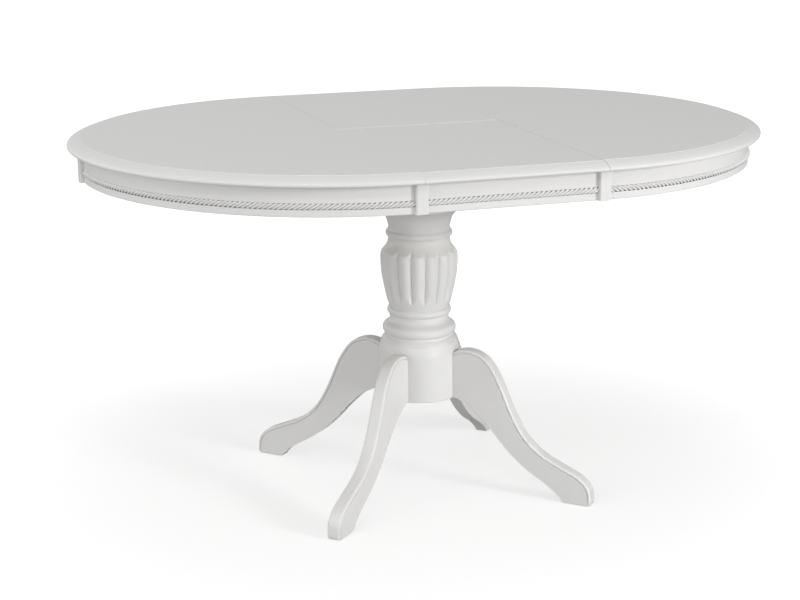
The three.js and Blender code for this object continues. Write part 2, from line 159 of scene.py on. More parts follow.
class Groups:
    """The shader node groups that several finishes share, each built once."""

    _made: dict[str, bpy.types.NodeTree] = {}

    @classmethod
    def _start(cls, name: str, inputs: dict[str, float],
               outputs: Sequence[tuple[str, str]]) -> NodeTree:
        """Opens a new group.

        Args:
            name: The group's name.
            inputs: Each float input's name and value.
            outputs: Each output's name and socket type.

        Returns:
            The group's tree, ready to add nodes to.
        """
        tree = bpy.data.node_groups.new(name, "ShaderNodeTree")
        for key, value in inputs.items():
            socket = tree.interface.new_socket(key, in_out="INPUT", socket_type="NodeSocketFloat")
            socket.default_value = value
        for key, kind in outputs:
            tree.interface.new_socket(key, in_out="OUTPUT", socket_type=kind)
        cls._made[name] = tree
        return NodeTree(tree)

    @classmethod
    def lacquer_film(cls) -> bpy.types.NodeTree:
        """The sprayed film: orange peel, wood grain showing faintly through, cloudy gloss.

        Returns:
            A group with Height, Gloss and Tone outputs.
        """
        if "lacquer_film" in cls._made:
            return cls._made["lacquer_film"]
        outs = [(key, "NodeSocketFloat") for key in ("Height", "Gloss", "Tone")]
        net = cls._start("lacquer_film", {"Peel": 0.5, "Grain": 0.4, "Cloud": 0.3}, outs)
        given = net.add("NodeGroupInput")
        place = net.add("TexCoord").outputs["Object"]
        peel = net.add("TexNoise", {"Vector": place, "Scale": 420.0, "Detail": 2.0})
        stretch = net.add("Mapping", {"Vector": place, "Scale": (6.0, 160.0, 60.0)})
        grain = net.add("TexNoise", {"Vector": stretch.outputs[0], "Scale": 3.0, "Detail": 4.0})
        cloud = net.add("TexNoise", {"Vector": place, "Scale": 5.5, "Detail": 3.0})
        high = net.maths("MULTIPLY", peel.outputs["Fac"], given.outputs["Peel"])
        low = net.maths("MULTIPLY", grain.outputs["Fac"], given.outputs["Grain"])
        even = net.maths("SUBTRACT", cloud.outputs["Fac"], 0.5)
        drift = net.maths("MULTIPLY", even, given.outputs["Cloud"])
        out = net.add("NodeGroupOutput")
        for key, socket in (("Height", net.maths("ADD", high, low)), ("Gloss", drift),
                            ("Tone", cloud.outputs["Fac"])):
            net.tree.links.new(socket, out.inputs[key])
        return net.tree

    @classmethod
    def crevices(cls) -> bpy.types.NodeTree:
        """How far a point lies in a groove or against a neighbour, as a mask for painted shade.

        Returns:
            A group with a Mask output, 1 deep in a corner and 0 in the open.
        """
        if "crevices" in cls._made:
            return cls._made["crevices"]
        net = cls._start("crevices", {"Power": 2.8}, [("Mask", "NodeSocketFloat")])
        given = net.add("NodeGroupInput")
        # Painted shade: ambient occlusion picks out the grooves and corners that the lacquer is
        # darkened in.
        shade = net.add("AmbientOcclusion", {"Distance": 0.004}, samples=8)
        closed = net.maths("SUBTRACT", 1.0, shade.outputs["AO"])
        mask = net.maths("POWER", closed, given.outputs["Power"])
        out = net.add("NodeGroupOutput")
        net.tree.links.new(mask, out.inputs["Mask"])
        return net.tree

    @classmethod
    def wood_figure(cls) -> bpy.types.NodeTree:
        """Straight grain along X with short darker rays across it.

        Returns:
            A group with Figure and Flecks outputs.
        """
        if "wood_figure" in cls._made:
            return cls._made["wood_figure"]
        outs = [("Figure", "NodeSocketFloat"), ("Flecks", "NodeSocketFloat")]
        net = cls._start("wood_figure", {"Rings": 9.0, "Fleck": 1.0}, outs)
        given = net.add("NodeGroupInput")
        place = net.add("TexCoord").outputs["Object"]
        long = net.add("Mapping", {"Vector": place, "Scale": (0.7, 9.0, 9.0)})
        rings = net.add("TexWave", {"Vector": long.outputs[0], "Scale": given.outputs["Rings"],
                                    "Distortion": 6.0, "Detail": 3.0, "Detail Scale": 1.4},
                        bands_direction="DIAGONAL")
        thin = net.add("Mapping", {"Vector": place, "Scale": (60.0, 900.0, 700.0)})
        rays = net.add("TexNoise", {"Vector": thin.outputs[0], "Scale": 1.0, "Detail": 2.0})
        marks = net.maths("GREATER_THAN", rays.outputs["Fac"], 0.62)
        out = net.add("NodeGroupOutput")
        net.tree.links.new(rings.outputs["Fac"], out.inputs["Figure"])
        flecks = net.maths("MULTIPLY", marks, given.outputs["Fleck"])
        net.tree.links.new(flecks, out.inputs["Flecks"])
        return net.tree


# ---- Finishes ------------------------------------------------------------------------------


@dataclass(frozen=True)
class Finish:
    """What all the finishes share: a name, the record's slot and a material made once."""

    name: str
    slot: str

    def shade(self, net: NodeTree, shader: bpy.types.Node) -> None:
        """Wires the finish's nodes into its shader."""
        raise NotImplementedError

    def material(self) -> bpy.types.Material:
        """Gives the finish's material, making it the first time."""
        found = bpy.data.materials.get(self.name)
        if found:
            return found
        made = bpy.data.materials.new(self.name)
        made.use_nodes = True
        self.shade(NodeTree(made.node_tree), made.node_tree.nodes["Principled BSDF"])
        return made


@dataclass(frozen=True)
class Lacquer(Finish):
    """Sprayed warm white lacquer, satin, with shade painted a little greyer into the grooves."""

    colour: tuple[float, float, float] = (0.75, 0.746, 0.734)
    # The colour of the painted shade in grooves and against neighbours.
    shadow: tuple[float, float, float] = (0.34, 0.336, 0.325)
    dull: float = 0.99
    roughness: float = 0.30
    coat: float = 0.35
    coat_roughness: float = 0.13
    peel: float = 0.35
    grain: float = 0.30
    cloud: float = 0.05
    bump: float = 0.02

    def shade(self, net: NodeTree, shader: bpy.types.Node) -> None:
        """Wires colour, gloss and film height."""
        film = net.add("Group", node_tree=Groups.lacquer_film())
        film.inputs["Peel"].default_value = self.peel
        film.inputs["Grain"].default_value = self.grain
        film.inputs["Cloud"].default_value = self.cloud
        deep = net.add("Group", node_tree=Groups.crevices())
        tone = net.ramp(film.outputs["Tone"], [
            (0.25, tuple(c * self.dull for c in self.colour)), (0.75, self.colour)])
        # Painted shade: the colour is mixed towards the shadow colour where the crevice mask is
        # high.
        blend = net.add("MixRGB", {"Fac": deep.outputs["Mask"], "Color1": tone,
                                   "Color2": (*self.shadow, 1.0)})
        gloss = net.maths("ADD", film.outputs["Gloss"], self.roughness)
        bump = net.add("Bump", {"Height": film.outputs["Height"], "Strength": self.bump,
                                "Distance": 0.0006})
        shader.inputs["Coat Weight"].default_value = self.coat
        shader.inputs["Coat Roughness"].default_value = self.coat_roughness
        net.tree.links.new(blend.outputs[0], shader.inputs["Base Color"])
        net.tree.links.new(gloss, shader.inputs["Roughness"])
        net.tree.links.new(bump.outputs[0], shader.inputs["Normal"])


@dataclass(frozen=True)
class BareWood(Finish):
    """Planed, unfinished timber or ply with its grain along X."""

    pale: tuple[float, float, float] = (0.64, 0.45, 0.28)
    dark: tuple[float, float, float] = (0.47, 0.30, 0.17)
    rings: float = 9.0
    fleck: float = 0.5
    roughness: float = 0.55

    def shade(self, net: NodeTree, shader: bpy.types.Node) -> None:
        """Wires the figure into colour, gloss and bump."""
        figure = net.add("Group", node_tree=Groups.wood_figure())
        figure.inputs["Rings"].default_value = self.rings
        figure.inputs["Fleck"].default_value = self.fleck
        colour = net.ramp(figure.outputs["Figure"], [(0.1, self.pale), (0.9, self.dark)])
        marked = net.add("MixRGB", {"Fac": figure.outputs["Flecks"], "Color1": colour,
                                    "Color2": (*self.dark, 1.0)})
        rough = net.maths("MULTIPLY_ADD", figure.outputs["Figure"], 0.12, self.roughness)
        bump = net.add("Bump", {"Height": figure.outputs["Figure"], "Strength": 0.15,
                                "Distance": 0.0004})
        net.tree.links.new(marked.outputs[0], shader.inputs["Base Color"])
        net.tree.links.new(rough, shader.inputs["Roughness"])
        net.tree.links.new(bump.outputs[0], shader.inputs["Normal"])


@dataclass(frozen=True)
class Metal(Finish):
    """Plated or machined metal with a fine, cloudy surface."""

    colour: tuple[float, float, float] = (0.62, 0.64, 0.66)
    stain: tuple[float, float, float] = (0.50, 0.53, 0.56)
    roughness: float = 0.32

    def shade(self, net: NodeTree, shader: bpy.types.Node) -> None:
        """Wires the spangle into gloss and the smear into colour and bump."""
        place = net.add("TexCoord").outputs["Object"]
        spangle = net.add("TexVoronoi", {"Vector": place, "Scale": 240.0})
        smear = net.add("TexNoise", {"Vector": place, "Scale": 60.0, "Detail": 3.0})
        colour = net.ramp(smear.outputs["Fac"], [(0.3, self.stain), (0.7, self.colour)])
        rough = net.maths("MULTIPLY_ADD", spangle.outputs["Distance"], 0.2, self.roughness)
        bump = net.add("Bump", {"Height": smear.outputs["Fac"], "Strength": 0.1,
                                "Distance": 0.0002})
        shader.inputs["Metallic"].default_value = 1.0
        net.tree.links.new(colour, shader.inputs["Base Color"])
        net.tree.links.new(rough, shader.inputs["Roughness"])
        net.tree.links.new(bump.outputs[0], shader.inputs["Normal"])


@dataclass(frozen=True)
class Moulded(Finish):
    """Moulded plastic with a fine spark-eroded texture."""

    colour: tuple[float, float, float] = (0.74, 0.73, 0.70)
    roughness: float = 0.5

    def shade(self, net: NodeTree, shader: bpy.types.Node) -> None:
        """Wires the texture into colour, gloss and bump."""
        place = net.add("TexCoord").outputs["Object"]
        grit = net.add("TexNoise", {"Vector": place, "Scale": 900.0, "Detail": 2.0})
        worn = net.add("TexNoise", {"Vector": place, "Scale": 90.0, "Detail": 2.0})
        colour = net.ramp(worn.outputs["Fac"], [
            (0.3, tuple(c * 0.85 for c in self.colour)), (0.6, self.colour)])
        rough = net.maths("MULTIPLY_ADD", grit.outputs["Fac"], 0.15, self.roughness)
        bump = net.add("Bump", {"Height": grit.outputs["Fac"], "Strength": 0.2,
                                "Distance": 0.0002})
        net.tree.links.new(colour, shader.inputs["Base Color"])
        net.tree.links.new(rough, shader.inputs["Roughness"])
        net.tree.links.new(bump.outputs[0], shader.inputs["Normal"])


LACQUER = Lacquer("white_lacquer", "lacquered_wood")
BEECH = BareWood("planed_beech", "beech")
PLYWOOD = BareWood("birch_plywood", "plywood", pale=(0.66, 0.50, 0.33), dark=(0.52, 0.36, 0.21),
                   rings=4.0, fleck=0.2, roughness=0.62)
ZINC = Metal("zinc_plate", "zinc_steel")
BRASS = Metal("turned_brass", "brass", colour=(0.78, 0.60, 0.30), stain=(0.62, 0.45, 0.20),
              roughness=0.26)
NYLON = Moulded("glide_nylon", "nylon")


# ---- Mesh helpers --------------------------------------------------------------------------


def curve_through(points: Sequence[Pair], steps: int) -> list[Pair]:
    """Runs a smooth curve through points, with the same number of steps between each two.

    Args:
        points: The points, each a pair.
        steps: Steps between one point and the next.

    Returns:
        The curve's points, with both ends.
    """
    ends = [points[0], *points, points[-1]]
    out: list[Pair] = []
    for i in range(1, len(ends) - 2):
        a, b, c, d = (Vector(p) for p in ends[i - 1:i + 3])
        for k in range(steps):
            t = k / steps
            bent = 0.5 * (2 * b + (c - a) * t + (2 * a - 5 * b + 4 * c - d) * t * t
                          + (3 * b - a - 3 * c + d) * t ** 3)
            out.append((bent.x, bent.y))
    out.append(tuple(points[-1]))
    return out


def arc(centre: Pair, radius: Pair, start: float, end: float, steps: int) -> list[Pair]:
    """Gives points on an elliptical arc.

    Args:
        centre: The arc's centre.
        radius: Its two radii.
        start: Its first angle in degrees from the first axis.
        end: Its last angle.
        steps: Steps between the two.

    Returns:
        The points, with both ends.
    """
    turns = [math.radians(start + (end - start) * k / steps) for k in range(steps + 1)]
    return [(centre[0] + radius[0] * math.cos(t), centre[1] + radius[1] * math.sin(t))
            for t in turns]


def wire(bm: bmesh.types.BMesh, points: Sequence[Vector], closed: bool) -> list:
    """Adds a chain of vertices and edges.

    Args:
        bm: The mesh.
        points: The chain's points in order.
        closed: Whether the last point joins the first.

    Returns:
        The new vertices, then the new edges.
    """
    verts = [bm.verts.new(p) for p in points]
    links = list(zip(verts, verts[1:]))
    if closed:
        links.append((verts[-1], verts[0]))
    return verts + [bm.edges.new(pair) for pair in links]


def fill_open(bm: bmesh.types.BMesh) -> None:
    """Merges doubles, then closes every open loop with a face and turns all faces outwards."""
    bmesh.ops.remove_doubles(bm, verts=bm.verts, dist=1e-6)
    rims = [edge for edge in bm.edges if edge.is_boundary]
    bmesh.ops.holes_fill(bm, edges=rims, sides=0)
    bmesh.ops.recalc_face_normals(bm, faces=bm.faces)


def ease(bm: bmesh.types.BMesh, wanted: Callable[[bmesh.types.BMEdge], bool], width: float,
         segments: int = 2) -> None:
    """Rounds the edges that a test picks.

    Args:
        bm: The mesh.
        wanted: Tells whether an edge is to be rounded.
        width: How far the rounding reaches from the edge.
        segments: Faces across the rounding.
    """
    picked = [edge for edge in bm.edges if wanted(edge)]
    bmesh.ops.bevel(bm, geom=picked, offset=width, offset_type="OFFSET", affect="EDGES",
                    segments=segments, profile=0.5, material=-1, clamp_overlap=True)


def in_plane(axis: int, level: float) -> Callable[[bmesh.types.BMEdge], bool]:
    """A test for edges that lie in the plane where one coordinate has a given value."""
    return lambda edge: all(abs(v.co[axis] - level) < 1e-5 for v in edge.verts)


def finished(bm: bmesh.types.BMesh, name: str, body: str, finish: Finish,
             stands_for: Sequence[str] = (), sharp: float = 32.0) -> bpy.types.Object:
    """Turns a bmesh into a named piece that rides on a body.

    Args:
        bm: The shape, freed afterwards.
        name: The piece's name.
        body: The CAD body it moves with.
        finish: Its finish.
        stands_for: CAD nodes that it replaces.
        sharp: The angle in degrees above which an edge stays sharp.

    Returns:
        The new object.
    """
    mesh = bpy.data.meshes.new(name)
    bm.to_mesh(mesh)
    bm.free()
    mesh.shade_smooth()
    mesh.set_sharp_from_angle(angle=math.radians(sharp))
    mesh.materials.append(finish.material())
    piece = bpy.data.objects.new(name, mesh)
    bpy.context.scene.collection.objects.link(piece)
    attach(piece, body)
    if stands_for:
        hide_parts(*stands_for)
    even = piece.modifiers.new("even_shading", "WEIGHTED_NORMAL")
    even.keep_sharp = True
    even.weight = 80
    LOG.info("%s: %d faces", name, len(mesh.polygons))
    return piece


# ---- The top -------------------------------------------------------------------------------


@dataclass
class TopSizes:
    """The top's and apron's sizes in metres, read from the frame where it holds them.

    rope_stand is how far the rope's axis stands out from the back of its recess. block_lap is how
    far a half block runs past its seam, so that no light shows between two. clearance is the gap
    between the top's underside and what hangs below it.
    """

    radius: float = 0.0
    height: float = 0.0
    underside: float = 0.0
    seam: float = 0.0
    leaf_end: float = 0.0
    apron_bottom: float = 0.0
    apron_inside: float = 0.0
    apron_face: float = 0.507
    edge_width: float = 0.0265
    rope_height: float = 0.705
    rope_radius: float = 0.0061
    rope_recess: float = 0.0026
    rope_stand: float = 0.0003
    block_width: float = 0.0115
    block_depth: float = 0.008
    block_lap: float = 0.0001
    clearance: float = 0.0003
    seam_easing: float = 0.0007
    apron_easing: float = 0.0003

    @classmethod
    def from_frame(cls) -> "TopSizes":
        """Reads the sizes from the frame's boxes."""
        low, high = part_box("right_top")
        apron_low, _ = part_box("right_apron")
        leaf_low, leaf_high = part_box("leaf_back_apron")
        return cls(radius=high[1], height=high[2], underside=low[2], seam=low[0],
                   leaf_end=leaf_high[0], apron_bottom=apron_low[2], apron_inside=leaf_low[1])

    @property
    def rope_reach(self) -> float:
        """How far the rope's axis lies from the half's centre, or from the X axis on the leaf."""
        return self.apron_face - self.rope_recess + self.rope_stand

    @property
    def block_height(self) -> float:
        """The height of a pilaster block."""
        return self.underside - self.clearance - self.apron_bottom

    def edge(self, drop: float = 0.0) -> list[Pair]:
        """The top's section from the underside round to the flat, as (reach, height).

        Args:
            drop: How far the flat lies below the table's height.

        Returns:
            The section's points.
        """
        r, z = self.radius, self.height - drop
        lip = arc((r - 0.0035, self.underside + 0.0035), (0.0035, 0.0035), -90, 0, 4)
        thumb = curve_through([
            (r, z - 0.0135), (r - 0.0009, z - 0.0110), (r - 0.0050, z - 0.0082),
            (r - 0.0130, z - 0.0049), (r - 0.0200, z - 0.0026),
            (r - self.edge_width, z - 0.0009)], 3)
        quirk = [(r - self.edge_width - 0.0003, z - 0.0003), (r - self.edge_width - 0.0008, z)]
        return [*lip, *thumb, *quirk]

    def apron(self) -> list[Pair]:
        """The apron's closed section, with a recess for the rope and eased lower edges."""
        face, back = self.apron_face, self.apron_face - self.rope_recess
        half = self.rope_radius - 0.0006
        low, high = self.rope_height - half, self.rope_height + half
        bottom, top = self.apron_bottom, self.underside - self.clearance
        foot = arc((face - 0.0018, bottom + 0.0018), (0.0018, 0.0018), -90, 0, 4)
        under = arc((face - 0.0004, low - 0.0004), (0.0004, 0.0004), 0, 90, 2)
        over = arc((face - 0.0004, high + 0.0004), (0.0004, 0.0004), -90, 0, 2)
        inner = arc((self.apron_inside + 0.0012, bottom + 0.0012), (0.0012, 0.0012), 180, 270, 2)
        return [*inner, *foot, *under, (back, low), (back, high), *over, (face, top),
                (self.apron_inside, top)]


@dataclass
class Rope:
    """The twisted rope moulding: four strands that rise to the right."""

    sizes: TopSizes
    strands: int = 4
    lead: float = 0.0370
    steps_per_lead: int = 24
    points_per_strand: int = 6
    groove: float = 0.46

    def ring(self, bm: bmesh.types.BMesh, centre: Vector, turn: Matrix) -> list:
        """Adds the rope's lobed section as a ring of vertices and edges.

        Args:
            bm: The mesh to add to.
            centre: The ring's centre.
            turn: Turns the ring from the XY plane to its start.

        Returns:
            The ring's edges.
        """
        count = self.strands * self.points_per_strand
        made = bmesh.ops.create_circle(bm, segments=count, radius=self.sizes.rope_radius)
        for vert in made["verts"]:
            angle = math.atan2(vert.co.y, vert.co.x)
            crest = abs(math.cos(self.strands * angle / 2))
            vert.co *= 1 - self.groove * (1 - crest) ** 1.2
            vert.co = turn @ vert.co + centre
        return [edge for edge in bm.edges if edge.is_wire]

    def lay(self, bm: bmesh.types.BMesh, edges: list, length: float,
            forward: Callable[[list, float], tuple[Vector, Vector]]) -> None:
        """Extrudes the ring along its path, turning it as it goes.

        Args:
            bm: The mesh.
            edges: The starting ring.
            length: The path's length.
            forward: Moves vertices on by a distance, and gives the ring's new centre and heading.
        """
        steps = round(length / self.lead * self.steps_per_lead)
        stride = length / steps
        for _ in range(steps):
            made = bmesh.ops.extrude_edge_only(bm, edges=edges)["geom"]
            verts = [g for g in made if isinstance(g, bmesh.types.BMVert)]
            fresh = set(verts)
            edges = [g for g in made if isinstance(g, bmesh.types.BMEdge)
                     and g.verts[0] in fresh and g.verts[1] in fresh]
            centre, heading = forward(verts, stride)
            twist = Matrix.Rotation(2 * math.pi * stride / self.lead, 3, heading)
            bmesh.ops.rotate(bm, verts=verts, cent=centre, matrix=twist)

    def straight(self, section: Section) -> None:
        """Lays the rope across one end of the leaf."""
        s = self.sizes
        end = s.leaf_end - s.block_width
        reach = section.value * s.rope_reach
        bm = bmesh.new()
        centre = Vector((-end, reach, s.rope_height))
        ring = self.ring(bm, centre, Matrix.Rotation(math.pi / 2, 3, "Y"))

        def forward(verts: list, stride: float) -> tuple[Vector, Vector]:
            """Moves the ring along X."""
            bmesh.ops.translate(bm, verts=verts, vec=ALONG * stride)
            centre.x += stride
            return centre, ALONG * section.value

        self.lay(bm, ring, 2 * end, forward)
        fill_open(bm)
        node = section.node("rope")
        finished(bm, f"{node}_twist", section.body, LACQUER, [node], sharp=60)

    def round(self, half: Half) -> None:
        """Lays the rope round one half of the table, from seam to seam."""
        s = self.sizes
        radius = s.rope_reach
        hub = Vector((half.value * s.seam, 0.0, s.rope_height))
        gap = math.asin(s.block_width / radius)
        bm = bmesh.new()
        start = Matrix.Rotation(half.value * gap, 3, "Z")
        state = {"spoke": start @ Vector((0.0, -radius, 0.0))}
        ring = self.ring(bm, hub + state["spoke"], start @ Matrix.Rotation(math.pi / 2, 3, "Y"))

        def forward(verts: list, stride: float) -> tuple[Vector, Vector]:
            """Swings the ring on round the half's centre."""
            swing = Matrix.Rotation(half.value * stride / radius, 3, "Z")
            bmesh.ops.rotate(bm, verts=verts, cent=hub, matrix=swing)
            state["spoke"] = swing @ state["spoke"]
            return hub + state["spoke"], UP.cross(state["spoke"]).normalized()

        self.lay(bm, ring, (math.pi - 2 * gap) * radius, forward)
        fill_open(bm)
        node = half.node("rope")
        finished(bm, f"{node}_twist", half.body, LACQUER, [node], sharp=60)


@dataclass
class Pilaster:
    """A pilaster block with soft corners, which covers the apron's end."""

    node: str
    body: str
    size: Vector
    rounded: Callable[[Vector], bool]
    corner_round: float = 0.0030
    foot_easing: float = 0.0004

    def corner(self, edge: bmesh.types.BMEdge) -> bool:
        """Picks the upright edges to round, from their offset from the block's centre."""
        a, b = (v.co for v in edge.verts)
        return abs(a.z - b.z) > 1e-6 and self.rounded(a)

    def foot(self, edge: bmesh.types.BMEdge) -> bool:
        """Picks the edges round the block's foot."""
        return all(v.co.z < -self.size.z / 2 + 1e-6 for v in edge.verts)

    def build(self, place: Matrix) -> None:
        """Makes the block round the origin and moves it to its place."""
        bm = bmesh.new()
        bmesh.ops.create_cube(bm, size=1.0)
        bmesh.ops.scale(bm, vec=self.size, verts=bm.verts)
        ease(bm, self.corner, self.corner_round, 6)
        ease(bm, self.foot, self.foot_easing, 2)
        bmesh.ops.transform(bm, matrix=place, verts=bm.verts)
        finished(bm, f"{self.node}_pilaster", self.body, LACQUER, [self.node])


@dataclass
class HalfTop:
    """One half-round top with its apron, rope and pilaster blocks."""

    sizes: TopSizes
    half: Half
    steps: int = 120

    def _spun(self, section: Sequence[Pair], closed: bool, easing: float) -> bmesh.types.BMesh:
        """Spins a section of (reach, height) points half round, closes its ends and eases them."""
        side = self.half.value
        hub = Vector((side * self.sizes.seam, 0.0, 0.0))
        bm = bmesh.new()
        chain = wire(bm, [hub + Vector((0.0, -r, z)) for r, z in section], closed)
        bmesh.ops.spin(bm, geom=chain, cent=hub, axis=UP, angle=side * math.pi, steps=self.steps,
                       use_merge=False, use_duplicate=False)
        fill_open(bm)
        ease(bm, in_plane(0, hub.x), easing)
        return bm

    def top(self) -> None:
        """Makes the half-round panel with its thumbnail edge."""
        s = self.sizes
        section = [(0.0, s.underside), *s.edge(), (0.0, s.height)]
        node = self.half.node("top")
        bm = self._spun(section, False, s.seam_easing)
        finished(bm, f"{node}_panel", self.half.body, LACQUER, [node])

    def apron(self) -> None:
        """Makes the bent apron."""
        node = self.half.node("apron")
        bm = self._spun(self.sizes.apron(), True, self.sizes.apron_easing)
        finished(bm, f"{node}_bent", self.half.body, LACQUER, [node])

    def blocks(self) -> None:
        """Makes the half blocks at the seams and the whole one at the far end."""
        s = self.sizes
        middle = s.apron_bottom + s.block_height / 2
        side = self.half.value
        hub = Matrix.Translation((side * s.seam, 0, 0))
        small = Vector((s.block_width + s.block_lap, s.block_depth, s.block_height))
        for name, face in (("front", -1), ("back", 1)):
            centre = Matrix.Translation((side * (s.block_width - s.block_lap) / 2,
                                         face * (s.apron_face + s.block_depth / 2), middle))
            Pilaster(self.half.node(f"block_{name}"), self.half.body, small,
                     lambda p, face=face: p.x * side > 0 and p.y * face > 0).build(hub @ centre)
        whole = Vector((2 * s.block_width, s.block_depth, s.block_height))
        centre = Matrix.Translation((0.0, -s.apron_face - s.block_depth / 2, middle))
        turn = Matrix.Rotation(math.radians(90 * side), 4, "Z")
        Pilaster(self.half.node("end_block"), self.half.body, whole,
                 lambda p: p.y < 0).build(hub @ turn @ centre)

    def build(self) -> None:
        """Builds the half."""
        self.top()
        self.apron()
        self.blocks()
        Rope(self.sizes).round(self.half)


@dataclass
class Leaf:
    """The two-section folding leaf with its aprons, ropes, half blocks and barrel hinges.

    front_drop is how far the front section's flat lies below the back one's, which is what shows
    the fold as a line.
    """

    sizes: TopSizes
    fold_gap: float = 0.00015
    front_drop: float = 0.0012
    barrel_rim: float = 0.0008
    slot_margin: float = 0.0012
    slot_depth: float = 0.0015

    def _run(self, section: Section, outline: Sequence[Pair], easing: float) -> bmesh.types.BMesh:
        """Extrudes a section of (reach, height) points from seam to seam and eases its ends."""
        s = self.sizes
        bm = bmesh.new()
        chain = wire(bm, [Vector((-s.leaf_end, section.value * r, z)) for r, z in outline], True)
        face = bmesh.ops.contextual_create(bm, geom=chain)["faces"]
        made = bmesh.ops.extrude_face_region(bm, geom=face)["geom"]
        verts = [g for g in made if isinstance(g, bmesh.types.BMVert)]
        bmesh.ops.translate(bm, verts=verts, vec=ALONG * 2 * s.leaf_end)
        fill_open(bm)
        for end in (-s.leaf_end, s.leaf_end):
            ease(bm, in_plane(0, end), easing)
        return bm

    def section(self, section: Section) -> None:
        """Builds one section."""
        s = self.sizes
        drop = self.front_drop if section is Section.FRONT else 0.0
        panel = [(self.fold_gap, s.underside), *s.edge(drop), (self.fold_gap, s.height - drop)]
        bm = self._run(section, panel, s.seam_easing)
        ease(bm, in_plane(1, section.value * self.fold_gap), s.seam_easing)
        finished(bm, section.node("panel_moulded"), section.body, LACQUER,
                 [section.node("panel")])
        bm = self._run(section, s.apron(), s.apron_easing)
        finished(bm, section.node("apron_straight"), section.body, LACQUER,
                 [section.node("apron")])
        self.blocks(section)
        Rope(s).straight(section)
        self.barrels(section)

    def blocks(self, section: Section) -> None:
        """Makes the half blocks at the two ends of the section's apron."""
        s = self.sizes
        size = Vector((s.block_width + s.block_lap, s.block_depth, s.block_height))
        for name, side in (("left", -1), ("right", 1)):
            centre = Matrix.Translation((side * (s.leaf_end - (s.block_width - s.block_lap) / 2),
                                         section.value * (s.apron_face + s.block_depth / 2),
                                         s.apron_bottom + s.block_height / 2))
            Pilaster(section.node(f"block_{name}"), section.body, size,
                     lambda p, side=side: p.x * side < 0 and p.y * section.value > 0).build(centre)

    def barrels(self, section: Section) -> None:
        """Makes the barrel hinges' cups, let into the fold edge with a rim round a dark slot."""
        for name in ("left", "right"):
            node = section.node(f"barrel_{name}")
            low, high = (Vector(corner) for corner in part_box(node))
            radius, centre = (high.x - low.x) / 2, (low + high) / 2
            depth = high.y - low.y
            bm = bmesh.new()
            bmesh.ops.create_cone(bm, cap_ends=True, segments=32, radius1=radius, radius2=radius,
                                  depth=depth)
            bmesh.ops.rotate(bm, verts=bm.verts, matrix=Matrix.Rotation(math.pi / 2, 3, "X"))
            bmesh.ops.translate(bm, verts=bm.verts, vec=centre)
            inner = abs(centre.y) - depth / 4
            lip = [f for f in bm.faces if abs(f.calc_center_median().y) < inner]
            bmesh.ops.inset_region(bm, faces=lip, thickness=self.barrel_rim, depth=0)
            bmesh.ops.inset_region(bm, faces=lip, thickness=self.slot_margin,
                                   depth=-self.slot_depth)
            fill_open(bm)
            finished(bm, f"{node}_cup", section.body, BRASS, [node])

    def build(self) -> None:
        """Builds both sections."""
        for section in Section:
            self.section(section)


# ---- The pedestal --------------------------------------------------------------------------


